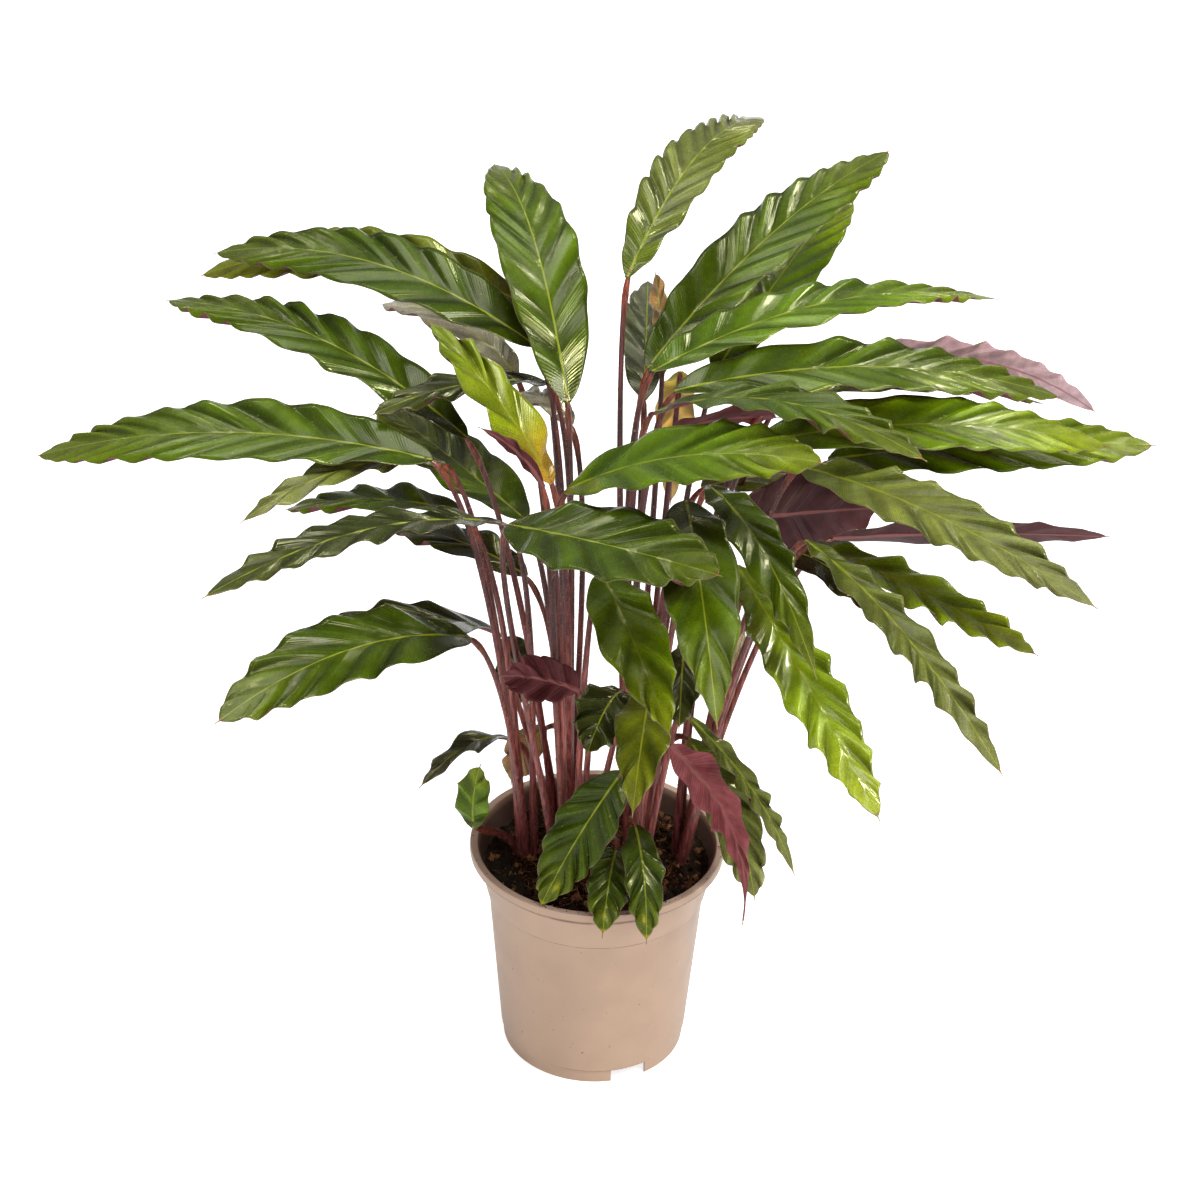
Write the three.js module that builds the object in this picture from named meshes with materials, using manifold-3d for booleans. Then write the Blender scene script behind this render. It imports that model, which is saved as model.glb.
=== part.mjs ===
// A potted calathea: lance-shaped leaves with waved edges on long maroon
// stalks, growing in a tapered plastic nursery pot filled with peat.
//
// Millimetres, +Z up. The origin is the centre of the pot's base, on the
// ground. The front of the plant faces -Y and +X is to its right.

import * as THREE from 'three';
import { mergeVertices } from 'three/addons/utils/BufferGeometryUtils.js';
import Module from 'manifold-3d';

const wasm = await Module();
wasm.setup();

// Driving dimensions.

const TOUCH_GAP = 0.3; // left between two pieces that touch

const POT_HEIGHT = 156;
const RIM_RADIUS = 85;
const RIM_BAND = 6; // height of the proud band round the mouth
const RIM_WIDTH = 5; // how far the band reaches in from its outside
const COLLAR_RADIUS = 79.6; // outside of the wall just below the band
const STEP_HEIGHT = 122; // the fine step round the pot, below its collar
const STEP_RADIUS = 73.8; // outside of the wall at the step
const STEP_DEPTH = 1.4; // how far the wall steps in there
const BODY_FOOT_RADIUS = 63.6; // outside of the wall where it meets the foot
const FOOT_RADIUS = 61.9;
const FOOT_HEIGHT = 10;
const WALL = 1.8;
const NOTCH_WIDTH = 25;
const NOTCH_ANGLES = [-66, 54, 174]; // degrees from +X
const DRAIN_RADIUS = 4.5;
const DRAIN_DISTANCE = 50; // of each drain hole from the axis
const POT_SIDES = 34;

const SOIL_LEVEL = 139;
const SOIL_RING_RADII = [70, 54, 36, 17];
const SOIL_BUMP = 1.5;

const CROWN_RADIUS = 17;
const CROWN_TOP = 137;
const CROWN_DEPTH = 32;
const CROWN_SIDES = 18;

const STALK_FOOT_RADIUS = 2.5;
const STALK_TIP_RADIUS = 1.5;
const STALK_ROOT = 120; // height at which each stalk starts inside its crown
const STALK_SPREAD = 10.5; // furthest that a stalk starts from its crown's axis
const STALK_SPREAD_REACH = 60; // leaf distance at which it does so
const STALK_BEND = 28; // length of the bend below each blade
const STALK_LEAN = 0.3; // how far out its first control point lies, and how far up
const STALK_RISE = 0.45;
const STALK_CLEAR_HEIGHT = 175; // no lower, so that low stalks rise out of their holes
const STALK_RINGS = 6;
const STALK_SIDES = 6;

const BLADE_THICKNESS = 1;
const BLADE_BASE_HALF_WIDTH = 1.8;
const BLADE_TIP_HALF_WIDTH = 0.6;
const BLADE_FULLNESS = 0.6; // a blade's outline is t^fullness (1 - t)^taper
const BLADE_TAPER = 0.65;
const VEIN_ANGLE = 33; // degrees between the side veins and the midrib
const LARGEST_SLANT = 0.2;
const WAVE_LENGTH = 30;
const WAVE_HEIGHT = 0.15; // of the half width there, at the edge
const WAVE_EXPONENT = 1.2; // how fast the waves fade towards the midrib
const WAVE_OFFSET = 0.9 * Math.PI; // of the left edge's waves against the right's
const CUP = 0.16; // rise of the edges at the blade's base, of the half width
const CUP_FALL = 0.24; // how much less it is at the tip, where the edges droop

const COLOURS = {
  pot: { color: 0xc4a994, roughness: 0.5 },
  soil: { color: 0x2b1d15, roughness: 1 },
  stalk: { color: 0x6a2b33, roughness: 0.6 },
  leaf: { color: 0x3c6420, roughness: 0.4 },
  purpleLeaf: { color: 0x5d2438, roughness: 0.5 },
  dyingLeaf: { color: 0xb59a4c, roughness: 0.6 },
};

// The shoots. Each leaf is given by the base and the tip of its blade, the
// rise of its midrib above the straight line between them, its greatest
// width, and its roll about the midrib in degrees. A larger taper draws the
// blade out to a longer tip, and a larger ruffle deepens its waves. The places
// are rounded to what the eye can tell on the real plant.

function leaf(base, tip, arch, width, extras = {}) {
  const usual = { roll: 0, bend: STALK_BEND, taper: BLADE_TAPER, ruffle: 1, look: 'leaf' };
  return { base, tip, arch, width, ...usual, ...extras };
}

const SHOOTS = [
  {
    name: 'stems_left',
    crown: [-40, 14],
    leaves: [
      leaf([-105, -40, 460], [-360, 40, 415], 17, 60, { roll: -12 }),
      leaf([-100, -5, 440], [-215, -75, 435], 15, 26),
      leaf([-90, 0, 403], [-205, 50, 375], 8, 36),
      leaf([-82, -55, 345], [-220, -180, 360], 19, 56, { roll: -12 }),
      leaf([-60, -45, 420], [-220, -200, 455], 18, 34),
      leaf([-57, 52, 200], [-115, -18, 210], 14, 18, { ruffle: 1.5 }),
      leaf([-82, -12, 172], [-78, -12, 220], 2, 24, { roll: 70, bend: 10 }),
    ],
  },
  {
    name: 'stems_back_left',
    crown: [-18, 44],
    leaves: [
      leaf([-25, 20, 471], [-80, 237, 541], 34, 52, { taper: 0.75 }),
      leaf([-87, 10, 450], [-288, 138, 480], 22, 54),
      leaf([-46, 60, 490], [-260, 172, 500], 25, 54, { roll: -15 }),
      leaf([-54, 110, 496], [-273, 190, 476], 24, 44, { roll: -25 }),
      leaf([-33, -25, 438], [-109, 10, 527], 6, 32, { roll: -15, taper: 0.75 }),
      leaf([-50, 10, 393], [-152, 146, 404], 2, 50),
      leaf([-60, 122, 439], [-153, 192, 457], 16, 38),
      leaf([-38, 60, 465], [-142, -12, 476], 9, 32),
      leaf([-50, 35, 338], [-140, 93, 339], 8, 36),
      leaf([-64, 38, 290], [-205, -66, 316], 26, 46),
      leaf([-37, 72, 198], [-60, 72, 154], 4, 26, { roll: -60, look: 'dyingLeaf' }),
    ],
    fused: [
      leaf([-23, 70, 431], [-60, 117, 430], 7, 26),
      leaf([-67, 40, 286], [-47, 54, 231], 1, 34, { roll: 75 }),
    ],
  },
  {
    name: 'stems_back_right',
    crown: [21, 44],
    leaves: [
      leaf([10, 45, 545], [98, 250, 574], 27, 42),
      leaf([24, 40, 486], [185, 255, 550], 16, 54),
      leaf([68, 75, 468], [163, 280, 511], 6, 50),
      leaf([26, -10, 508], [250, 137, 496], 22, 50, { taper: 0.9 }),
      leaf([122, 80, 467], [329, 170, 401], 25, 26, { roll: -70 }),
      leaf([102, 47, 461], [286, 128, 426], 14, 42, { roll: -10 }),
      leaf([23, 60, 455], [25, 199, 475], 5, 32, { ruffle: 1.4 }),
      leaf([46, 85, 463], [44, 128, 347], 14, 26, { look: 'dyingLeaf' }),
    ],
    fused: [
      leaf([37, 10, 458], [106, 51, 449], 4, 28, { roll: -50 }),
      leaf([62, 60, 393], [127, 96, 386], 2, 34),
      leaf([34, 86, 486], [29, 142, 505], 2, 14, { roll: -50, look: 'dyingLeaf' }),
    ],
  },
  {
    name: 'stems_right',
    crown: [46, 10],
    leaves: [
      leaf([94, 23, 445], [324, 90, 415], 14, 52, { roll: 14 }),
      leaf([143, 70, 410], [360, 118, 402], 6, 50, { roll: 20 }),
      leaf([119, -10, 446], [272, -194, 459], 10, 44, { roll: 10, taper: 0.8 }),
      leaf([144, 20, 380], [329, 77, 355], 3, 28, { roll: -60, look: 'purpleLeaf' }),
      leaf([84, 10, 397], [176, 66, 378], 1, 58, { roll: -95, look: 'purpleLeaf' }),
      leaf([128, -30, 404], [246, -172, 414], 3, 36),
      leaf([121, -60, 422], [219, -261, 392], 14, 26, { ruffle: 1.3 }),
      leaf([113, 16, 373], [165, -60, 374], 9, 32),
    ],
    fused: [
      leaf([80, 6, 250], [91, 0, 322], 1, 9, { roll: 90 }),
    ],
  },
  {
    name: 'stems_front_right',
    crown: [20, -16],
    leaves: [
      leaf([39, -30, 505], [281, 44, 472], 18, 52, { roll: 10 }),
      leaf([25, -40, 494], [172, -176, 539], 21, 42),
      leaf([80, -70, 409], [152, -280, 373], 4, 38),
      leaf([62, -38, 446], [120, -197, 412], 18, 32, { taper: 0.9 }),
      leaf([47, -90, 463], [62, -280, 430], 10, 44, { taper: 0.9 }),
      leaf([30, -100, 338], [20, -197, 315], 8, 33, { taper: 0.9 }),
      leaf([51, -45, 335], [48, -105, 316], 6, 24),
      leaf([45, -55, 269], [95, -85, 156], 20, 25, { roll: -120, taper: 1.5, ruffle: 2, look: 'purpleLeaf' }),
      leaf([54, -40, 283], [127, -60, 178], 9, 13, { roll: 35, ruffle: 2 }),
      leaf([57, -25, 255], [103, -60, 157], 10, 30, { roll: 45 }),
      leaf([24, -45, 201], [33, -100, 151], 16, 25),
    ],
  },
  {
    name: 'stems_front_left',
    crown: [-18, -14],
    leaves: [
      leaf([-24, -70, 457], [118, -165, 529], 13, 54, { roll: 20 }),
      leaf([-57, -95, 447], [62, -205, 479], 2, 64, { roll: 12 }),
      leaf([-1, -75, 404], [39, -205, 375], 4, 42, { taper: 0.9 }),
      leaf([13, -60, 312], [-7, -127, 310], 8, 36, { roll: -15, ruffle: 1.5 }),
      leaf([-14, -50, 305], [-60, -91, 340], 3, 26, { roll: 95, ruffle: 1.8, look: 'purpleLeaf' }),
      leaf([15, -50, 245], [-35, -76, 158], 3, 38, { roll: -45, taper: 0.75 }),
      leaf([13, -42, 180], [5, -97, 153], 10, 28),
    ],
    fused: [
      leaf([-38, -52, 450], [-74, -45, 484], 5, 9, { roll: 80, ruffle: 1.8 }),
    ],
  },
];

// Closed surfaces.

const UP = new THREE.Vector3(0, 0, 1);

function at(values) {
  return new THREE.Vector3(...values);
}

function offset(point, ...steps) {
  const moved = point.clone();
  for (const [direction, distance] of steps) moved.addScaledVector(direction, distance);
  return moved;
}

// A closed skin over a row of rings, each with the same even count of points.
// The faces from `mirroredFrom` on are split along their other diagonal.
function skinned(rings, mirroredFrom = Infinity) {
  const count = rings[0].length;
  const positions = rings.flat().flatMap((point) => point.toArray());
  const triangles = [];
  for (let ring = 0; ring < rings.length - 1; ring++) {
    for (let side = 0; side < count; side++) {
      const a = ring * count + side;
      const b = ring * count + ((side + 1) % count);
      const c = b + count;
      const d = a + count;
      if (side < mirroredFrom) triangles.push(a, b, c, a, c, d);
      else triangles.push(a, b, d, b, c, d);
    }
  }
  const last = (rings.length - 1) * count;
  for (let side = 0; side < count / 2 - 1; side++) {
    const corners = [side, side + 1, count - 2 - side, count - 1 - side];
    const [a, b, c, d] = corners;
    triangles.push(a, c, b, a, d, c);
    triangles.push(last + a, last + b, last + c, last + a, last + c, last + d);
  }
  const geometry = new THREE.BufferGeometry();
  geometry.setAttribute('position', new THREE.Float32BufferAttribute(positions, 3));
  geometry.setIndex(triangles);
  return geometry;
}

// The surface of a three.js shape with its seams closed.
function sealed(geometry) {
  const bare = geometry.clone();
  for (const name of ['normal', 'uv']) bare.deleteAttribute(name);
  const merged = mergeVertices(bare, 1e-4);
  const corners = Array.from(merged.index.array);
  const kept = [];
  for (let i = 0; i < corners.length; i += 3) {
    const [a, b, c] = corners.slice(i, i + 3);
    if (a !== b && b !== c && c !== a) kept.push(a, b, c);
  }
  merged.setIndex(kept);
  return merged;
}

function solidOf(geometry) {
  const closed = sealed(geometry);
  const mesh = new wasm.Mesh({
    numProp: 3,
    vertProperties: new Float32Array(closed.attributes.position.array),
    triVerts: new Uint32Array(closed.index.array),
  });
  return new wasm.Manifold(mesh);
}

function geometryOf(solid) {
  const mesh = solid.getMesh();
  const geometry = new THREE.BufferGeometry();
  geometry.setAttribute('position', new THREE.BufferAttribute(mesh.vertProperties, 3));
  geometry.setIndex(new THREE.BufferAttribute(mesh.triVerts, 1));
  return geometry;
}

// A turned solid: the outline holds radius and height pairs.
function turned(outline, sides) {
  const points = outline.map(([radius, height]) => new THREE.Vector2(radius, height));
  return new THREE.LatheGeometry(points, sides).rotateX(Math.PI / 2);
}

function uprightCylinder(radius, bottom, top, sides, [x, y]) {
  const height = top - bottom;
  return new THREE.CylinderGeometry(radius, radius, height, sides)
    .rotateX(Math.PI / 2)
    .translate(x, y, bottom + height / 2);
}

// The pot.

const FLOOR_TOP = FOOT_HEIGHT + WALL;
const INNER_FOOT_RADIUS = BODY_FOOT_RADIUS - WALL;
const INNER_STEP_RADIUS = STEP_RADIUS - STEP_DEPTH - WALL;
const INNER_COLLAR_RADIUS = COLLAR_RADIUS - WALL;
const MOUTH_RADIUS = RIM_RADIUS - RIM_WIDTH;
const BAND_BOTTOM = POT_HEIGHT - RIM_BAND;
const RIM_ROUND = 1.5;

function polar(radius, degrees) {
  const angle = THREE.MathUtils.degToRad(degrees);
  return [radius * Math.cos(angle), radius * Math.sin(angle)];
}

function potSolid() {
  const outline = [
    [0, FOOT_HEIGHT],
    [FOOT_RADIUS - WALL, FOOT_HEIGHT],
    [FOOT_RADIUS - WALL, 0],
    [FOOT_RADIUS, 0],
    [FOOT_RADIUS, FOOT_HEIGHT],
    [BODY_FOOT_RADIUS, FLOOR_TOP],
    [STEP_RADIUS - STEP_DEPTH, STEP_HEIGHT - 1],
    [STEP_RADIUS, STEP_HEIGHT],
    [COLLAR_RADIUS, BAND_BOTTOM - 1],
    [RIM_RADIUS - 0.6, BAND_BOTTOM],
    [RIM_RADIUS, BAND_BOTTOM + RIM_ROUND],
    [RIM_RADIUS, POT_HEIGHT - RIM_ROUND],
    [RIM_RADIUS - RIM_ROUND, POT_HEIGHT],
    [MOUTH_RADIUS + RIM_ROUND, POT_HEIGHT],
    [MOUTH_RADIUS, POT_HEIGHT - RIM_ROUND],
    [INNER_COLLAR_RADIUS, BAND_BOTTOM],
    [INNER_STEP_RADIUS, STEP_HEIGHT],
    [INNER_FOOT_RADIUS, FLOOR_TOP],
    [0, FLOOR_TOP],
  ];
  let pot = solidOf(turned(outline, POT_SIDES));
  for (const angle of NOTCH_ANGLES) {
    const notch = new THREE.BoxGeometry(4 * WALL, NOTCH_WIDTH, 2 * (FOOT_HEIGHT - 1))
      .translate(FOOT_RADIUS, 0, 0)
      .rotateZ(THREE.MathUtils.degToRad(angle));
    const place = polar(DRAIN_DISTANCE, angle);
    const drain = uprightCylinder(DRAIN_RADIUS, 0, FLOOR_TOP + WALL, 12, place);
    pot = pot.subtract(solidOf(notch)).subtract(solidOf(drain));
  }
  return pot;
}

// The soil: peat with a lumpy top, and a plain hole for each crown.

const SOIL_EDGE_SHARE = (SOIL_LEVEL - STEP_HEIGHT) / (BAND_BOTTOM - STEP_HEIGHT);
const SOIL_EDGE_RADIUS =
  THREE.MathUtils.lerp(INNER_STEP_RADIUS, INNER_COLLAR_RADIUS, SOIL_EDGE_SHARE) - TOUCH_GAP;

function soilBump(x, y) {
  const long = Math.sin(x * 0.16 + 1.3) * Math.cos(y * 0.14 - 0.4);
  const short = Math.sin(x * 0.39 - y * 0.27) * Math.cos(y * 0.41 + x * 0.12);
  return SOIL_BUMP * (long + 0.7 * short);
}

function soilSolid() {
  const outline = [
    [0, FLOOR_TOP + TOUCH_GAP],
    [INNER_FOOT_RADIUS - TOUCH_GAP, FLOOR_TOP + TOUCH_GAP],
    [INNER_STEP_RADIUS - TOUCH_GAP, STEP_HEIGHT],
    [SOIL_EDGE_RADIUS, SOIL_LEVEL],
    ...SOIL_RING_RADII.map((radius) => [radius, SOIL_LEVEL]),
    [0, SOIL_LEVEL],
  ];
  const geometry = turned(outline, POT_SIDES);
  const places = geometry.attributes.position;
  for (let i = 0; i < places.count; i++) {
    const x = places.getX(i);
    const y = places.getY(i);
    const onTop = places.getZ(i) > SOIL_LEVEL - 0.1 && Math.hypot(x, y) < SOIL_EDGE_RADIUS - 1;
    if (onTop) places.setZ(i, SOIL_LEVEL + soilBump(x, y));
  }
  let soil = solidOf(geometry);
  for (const { crown } of SHOOTS) {
    const bottom = CROWN_TOP - CROWN_DEPTH - TOUCH_GAP;
    const radius = CROWN_RADIUS + TOUCH_GAP;
    const hole = uprightCylinder(radius, bottom, SOIL_LEVEL + 20, CROWN_SIDES, crown);
    soil = soil.subtract(solidOf(hole));
  }
  return soil;
}

// The blades.

// The midrib is a curve that rises `arch` above the line from base to tip.
function midribOf({ base, tip, arch }) {
  const start = at(base);
  const end = at(tip);
  const chord = end.clone().sub(start);
  const side = chord.clone().cross(UP).normalize();
  const lift = side.clone().cross(chord).normalize();
  const middle = start.clone().lerp(end, 0.5);
  const control = offset(middle, [lift, 2 * arch]);
  const curve = new THREE.QuadraticBezierCurve3(start, control, end);
  return { curve, side, length: chord.length() };
}

function halfWidth({ width, taper }, t) {
  const widest = BLADE_FULLNESS / (BLADE_FULLNESS + taper);
  const full = widest ** BLADE_FULLNESS * (1 - widest) ** taper;
  const outline = (width / 2) * ((t ** BLADE_FULLNESS * (1 - t) ** taper) / full);
  const stalkEnd = BLADE_BASE_HALF_WIDTH * Math.sqrt(1 - t);
  return Math.max(outline, stalkEnd, BLADE_TIP_HALF_WIDTH);
}

function waveCount(length) {
  return Math.max(3, Math.round(length / WAVE_LENGTH));
}

// The point of the blade's middle sheet at `along` (0 base to 1 tip) and
// `across` (-1 to 1), with the sheet's normal. Lines of equal `along` slant
// towards the tip as the side veins do.
function bladePoint(form, midrib, along, across) {
  const { curve, side, length } = midrib;
  const outward = Math.abs(across);
  const veinSlope = Math.tan(THREE.MathUtils.degToRad(VEIN_ANGLE));
  const slant = Math.min(LARGEST_SLANT, form.width / 2 / (length * veinSlope));
  const t = Math.min(1, along + slant * outward * 4 * along * (1 - along));
  const tangent = curve.getTangent(t);
  const level = tangent.clone().cross(side.clone().cross(tangent)).normalize();
  const above = level.clone().cross(tangent);
  const roll = THREE.MathUtils.degToRad(form.roll);
  const right = level.clone().multiplyScalar(Math.cos(roll));
  right.addScaledVector(above, -Math.sin(roll));
  const normal = above.clone().multiplyScalar(Math.cos(roll));
  normal.addScaledVector(level, Math.sin(roll));
  const half = halfWidth(form, t);
  const phase = Math.PI / 2 + (across < 0 ? WAVE_OFFSET : 0);
  const wave = Math.sin(2 * Math.PI * waveCount(length) * along + phase);
  const swell = WAVE_HEIGHT * form.ruffle * half * outward ** WAVE_EXPONENT;
  const rise = wave * swell + (CUP - CUP_FALL * t) * half * outward;
  const point = offset(curve.getPoint(t), [right, across * half], [normal, rise]);
  return { point, normal };
}

// A thin waved sheet with a station at each crest and trough of its edges.
function bladeGeometry(form) {
  const midrib = midribOf(form);
  const steps = 2 * waveCount(midrib.length);
  const rings = [];
  for (let step = 0; step <= steps; step++) {
    const row = [-1, 0, 1].map((across) => bladePoint(form, midrib, step / steps, across));
    const half = BLADE_THICKNESS / 2;
    const top = row.map(({ point, normal }) => offset(point, [normal, half]));
    const bottom = row.map(({ point, normal }) => offset(point, [normal, -half]));
    rings.push([...top, ...bottom.reverse()]);
  }
  return skinned(rings, 3);
}

// The stalks.

// A stalk leaves its crown nearly straight towards its leaf, and bends into
// the direction of the midrib just below the blade.
function stalkCurve(form, [crownX, crownY], gap) {
  const { base } = form;
  const { curve } = midribOf(form);
  const direction = curve.getTangent(0);
  const end = offset(at(base), [direction, -gap]);
  const away = new THREE.Vector2(base[0] - crownX, base[1] - crownY);
  const spread = STALK_SPREAD * Math.min(1, away.length() / STALK_SPREAD_REACH);
  away.setLength(spread);
  const start = new THREE.Vector3(crownX + away.x, crownY + away.y, STALK_ROOT);
  const bend = offset(end, [direction, -form.bend]);
  const rise = start.clone().lerp(bend, STALK_LEAN);
  rise.z = Math.max(STALK_CLEAR_HEIGHT, THREE.MathUtils.lerp(start.z, bend.z, STALK_RISE));
  return new THREE.CubicBezierCurve3(start, rise, bend, end);
}

function stalkGeometry(form, crown, gap) {
  const curve = stalkCurve(form, crown, gap);
  const rings = [];
  for (let ring = 0; ring <= STALK_RINGS; ring++) {
    const t = ring / STALK_RINGS;
    const centre = curve.getPoint(t);
    const tangent = curve.getTangent(t);
    const across = tangent.clone().cross(curve.getTangent(1).cross(UP)).normalize();
    const other = tangent.clone().cross(across);
    const radius = THREE.MathUtils.lerp(STALK_FOOT_RADIUS, STALK_TIP_RADIUS, t);
    const points = [];
    for (let side = 0; side < STALK_SIDES; side++) {
      const angle = (2 * Math.PI * side) / STALK_SIDES;
      const reach = [across, radius * Math.cos(angle)];
      points.push(offset(centre, reach, [other, radius * Math.sin(angle)]));
    }
    rings.push(points);
  }
  return skinned(rings);
}

// A shoot's crown with all its stalks, and its smallest inner leaves, which
// run on into their stalks.
function stemsSolid({ crown, leaves, fused = [] }) {
  const bottom = CROWN_TOP - CROWN_DEPTH;
  const pieces = [uprightCylinder(CROWN_RADIUS, bottom, CROWN_TOP, CROWN_SIDES, crown)];
  for (const form of leaves) pieces.push(stalkGeometry(form, crown, TOUCH_GAP));
  for (const form of fused) {
    pieces.push(stalkGeometry(form, crown, -STALK_TIP_RADIUS));
    pieces.push(bladeGeometry(form));
  }
  return pieces.map(solidOf).reduce((joined, piece) => joined.add(piece));
}

// Assembly.

const plant = new THREE.Group();

function addPiece(name, geometry, look) {
  const material = new THREE.MeshStandardMaterial({ ...COLOURS[look], metalness: 0 });
  const mesh = new THREE.Mesh(geometry, material);
  mesh.name = name;
  plant.add(mesh);
}

addPiece('pot', geometryOf(potSolid()), 'pot');
addPiece('soil', geometryOf(soilSolid()), 'soil');

let leafNumber = 0;
for (const shoot of SHOOTS) {
  addPiece(shoot.name, geometryOf(stemsSolid(shoot)), 'stalk');
  for (const form of shoot.leaves) {
    leafNumber += 1;
    const name = `leaf_${String(leafNumber).padStart(2, '0')}`;
    addPiece(name, bladeGeometry(form), form.look);
  }
}

export default plant;
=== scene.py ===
# A potted calathea: long waved leaves, green above and maroon below, on hairy maroon
# stalks, in peat in a taupe nursery pot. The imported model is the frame, in metres; the
# plant's own sizes below are in millimetres, +Z up, with the front of the plant at -Y.

import math
from dataclasses import dataclass

import bmesh
import bpy
import numpy as np
from mathutils import Matrix, Vector, noise


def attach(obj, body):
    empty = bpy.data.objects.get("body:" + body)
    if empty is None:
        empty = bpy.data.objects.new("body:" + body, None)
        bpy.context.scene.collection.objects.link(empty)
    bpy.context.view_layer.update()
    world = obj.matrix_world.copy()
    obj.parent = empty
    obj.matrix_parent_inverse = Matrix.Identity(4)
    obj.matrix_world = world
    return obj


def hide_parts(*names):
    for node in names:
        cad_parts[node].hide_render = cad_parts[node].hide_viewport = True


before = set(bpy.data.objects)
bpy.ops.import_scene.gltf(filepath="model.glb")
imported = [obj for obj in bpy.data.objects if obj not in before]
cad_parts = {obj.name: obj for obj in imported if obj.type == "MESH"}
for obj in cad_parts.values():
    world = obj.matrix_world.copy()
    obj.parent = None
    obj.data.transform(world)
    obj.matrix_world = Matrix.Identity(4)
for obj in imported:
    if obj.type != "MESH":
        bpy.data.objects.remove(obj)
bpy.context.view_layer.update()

MM = 0.001
UP = np.array((0.0, 0.0, 1.0))
BODY = "root"

# Camera, as the photograph was taken.
CAMERA_PITCH = math.radians(30.2)
CAMERA_ROLL = math.radians(1.4)
CAMERA_ANGLE = math.radians(24.0)
CAMERA_TARGET = (-2.0, 0.0, 342.0)
CAMERA_DISTANCE = 1795.0

# Pot.
POT_HEIGHT = 156.0
RIM_RADIUS = 85.0
RIM_BAND = 6.0
RIM_WIDTH = 5.0
COLLAR_RADIUS = 79.6
STEP_HEIGHT = 122.0
STEP_RADIUS = 73.8
STEP_DEPTH = 1.4
BODY_FOOT_RADIUS = 63.6
FOOT_RADIUS = 61.9
FOOT_HEIGHT = 10.0
WALL = 1.8
GAP = 0.3
LEDGE = 1.0  # the fall of the step and of the rim band's lower edge
CHAMFER = 0.4  # of the body's lower edge
RIM_EDGE = 0.3  # of the mouth, left out of the inner wall's painted shade, as light as the rim
CUTTER_REACH = 8 * WALL  # of the tools that cut the notches and holes
NOTCH_WIDTH = 25.0
NOTCH_HEIGHT = 9.0
NOTCH_ANGLES = (-66, 54, 174)
DRAIN_RADIUS = 4.5
DRAIN_DISTANCE = 50.0
POT_SIDES = 160
CORNER_RADIUS = 0.8
SHARP_ANGLE = 32

# Soil.
SOIL_LEVEL = 139.0
SOIL_RADIUS = 74.8
SOIL_RINGS = 70
SOIL_SIDES = 220
SOIL_BUMP = 1.5
SOIL_ROUGHNESS = 5.0
SOIL_LUMP = 7.0
SOIL_PATCH = 9.0
SOIL_CALM = 0.8  # how much flatter the lumps are where the peat meets the wall
SOIL_CALM_WIDTH = 8.0
PEAT_BROWN = (42, 28, 19)
CLODS = 1500
CLOD_MARGIN = 5.0  # from the wall
SMALLEST_CLOD = 0.6
CLOD_GROWTH = 3.0  # from the smallest to the largest
CRUMBS = 110
CRUMB_SIZE = (0.25, 0.7)
CRUMBS_ON_RIM = 0.35
LUMP_STRETCH = (0.4, 1.3)
LUMP_ROUGHNESS = 0.9
LUMP_GRAIN = 2.4
LUMP_BROWNS = ((36, 24, 16), (60, 40, 27), (84, 56, 37), (108, 73, 47), (156, 110, 70))
FIBRES = 520
FIBRE_MARGIN = 22.0
FIBRE_LENGTH = (5, 22)
FIBRE_RADIUS = (0.16, 0.42)
FIBRE_CLIMB = (-0.1, 0.35)
FIBRE_CURL = 0.5
FIBRE_TAPER = 0.7
FIBRE_LIFT = (0.6, 0.2)  # above the soil, at its root and at least further on
FIBRE_STEPS = 7
FIBRE_SIDES = 5
FIBRE_BROWNS = ((150, 92, 48), (112, 66, 36), (182, 132, 84), (70, 42, 26))

# Stalks.
STALK_FOOT_RADIUS = 2.3
STALK_TIP_RADIUS = 1.4
STALK_ROOT = 120.0
STALK_SPREAD = 10.5
STALK_SPREAD_REACH = 60.0
STALK_BEND = 28.0
STALK_LEAN = 0.3
STALK_RISE = 0.45
STALK_CLEAR_HEIGHT = 175.0
STALK_RINGS = 44
STALK_SIDES = 14
STALK_RIDGES = 5
STALK_RIDGE_DEPTH = 0.13  # of the radius
STALK_TWIST = 60.0  # along the stalk for each radian
STALK_MAROONS = ((130, 66, 66), (156, 82, 74), (92, 46, 44))  # at the soil, above it, high up
STALK_BRIGHTENING = (20, 130)  # the stretches from one maroon to the next
STALK_DARKENING = (130, 260)
PULVINUS_RED = (132, 62, 44)
SHEATH_SWELL = 0.9
SHEATH_HEIGHT = 30.0
PULVINUS_SWELL = 0.5
PULVINUS_LENGTH = 22.0
STALK_OVERRUN = 5.0  # into the blade, where the stalk is thinner
STALK_OVERRUN_SHARE = 0.6
HAIRS_PER_MM = 4.6
HAIR_LENGTH = (0.8, 2.1)
HAIR_RADIUS = 0.085
HAIR_ROOT = 0.93  # of the stalk's radius
HAIR_LEAN = 0.35  # towards the blade
HAIR_SCATTER = 0.25
HAIRLESS = 2.0  # the stalk's end, below the blade

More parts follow.
